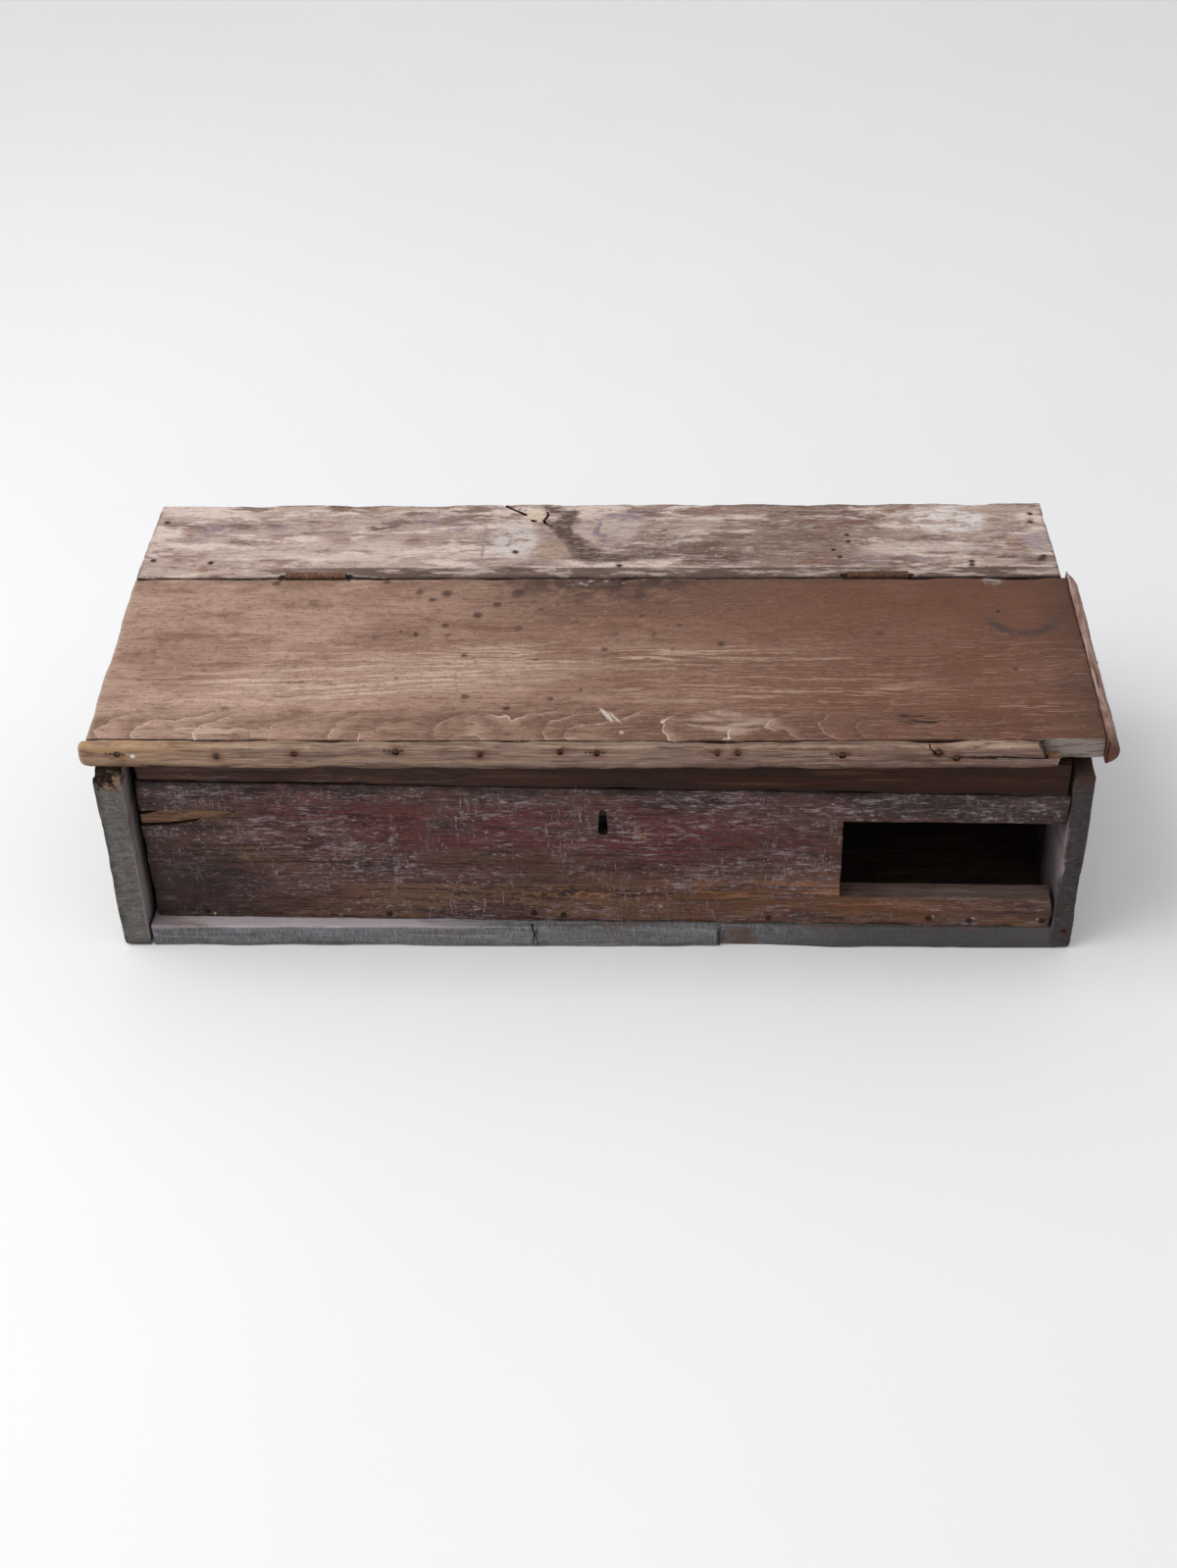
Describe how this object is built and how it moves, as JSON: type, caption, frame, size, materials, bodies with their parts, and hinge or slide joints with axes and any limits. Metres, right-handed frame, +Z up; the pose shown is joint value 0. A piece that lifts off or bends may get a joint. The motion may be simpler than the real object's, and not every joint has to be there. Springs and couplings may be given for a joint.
{
  "type": "storage chest",
  "caption": "Weathered slant-lid wooden storage chest with a hinged lid, a fixed rear top board, a front lip with a lock, and a cut-out in its front panel.",
  "frame": {"origin": "middle of the carcass footprint, on the floor", "axes": "+X to the right along the chest's length as seen from its front, +Y from the front to the back, +Z up"},
  "size_m": [0.938, 0.4007, 0.268],
  "materials": {
    "lid_wood": "dry, worn bare softwood",
    "rear_wood": "weathered softwood with whitewash remains",
    "moulding_wood": "weathered bare softwood",
    "cleat_wood": "worn reddish stain",
    "lip_wood": "dark stained softwood",
    "panel_wood": "worn maroon paint",
    "carcass_wood": "worn slate-grey paint",
    "inner_wood": "bare aged softwood",
    "hinge_iron": "rusted",
    "nail_iron": "rusted",
    "lock_iron": "dull, dark",
    "bolt_brass": "tarnished"
  },
  "bodies": {
    "carcass": {"left_end": "carcass_wood", "right_end": "carcass_wood", "bottom_board": "carcass_wood", "back_board": "carcass_wood", "rear_top_board": "rear_wood", "hinge_rail": "inner_wood", "front_panel": "panel_wood", "floor_cleat": "inner_wood", "hinge_leaf_rear_left": "hinge_iron", "hinge_leaf_rear_right": "hinge_iron", "hinge_pin_left": "hinge_iron", "hinge_pin_right": "hinge_iron", "hinge_screws_rear": "nail_iron", "lock_plate": "lock_iron", "lock_case": "lock_iron", "lock_post": "lock_iron", "lock_screws": "nail_iron", "nails_rear_top": "nail_iron", "nails_ends": "nail_iron", "nails_back": "nail_iron", "nails_front_panel": "nail_iron", "nails_floor_cleat": "nail_iron"},
    "lid": {"lid_board": "lid_wood", "lid_lip": "lip_wood", "lid_moulding": "moulding_wood", "lid_end_cleat": "cleat_wood", "hinge_leaf_lid_left": "hinge_iron", "hinge_leaf_lid_right": "hinge_iron", "hinge_screws_lid": "nail_iron", "lock_link_plate": "lock_iron", "link_plate_screws": "nail_iron", "nails_moulding": "nail_iron", "nails_end_cleat": "nail_iron", "nails_lip": "nail_iron"},
    "bolt": {"lock_bolt": "bolt_brass"}
  },
  "joints": [
    {"name": "lid_hinge", "type": "hinge", "parent": "carcass", "child": "lid", "pos_m": [0, 0.0555, 0.264], "axis": [-1, 0, 0], "range_deg": [0, 170]},
    {"name": "bolt_slide", "type": "slide", "parent": "carcass", "child": "bolt", "axis": [0.9999, -0.0163, 0], "range_m": [0, 0.008]}
  ]
}
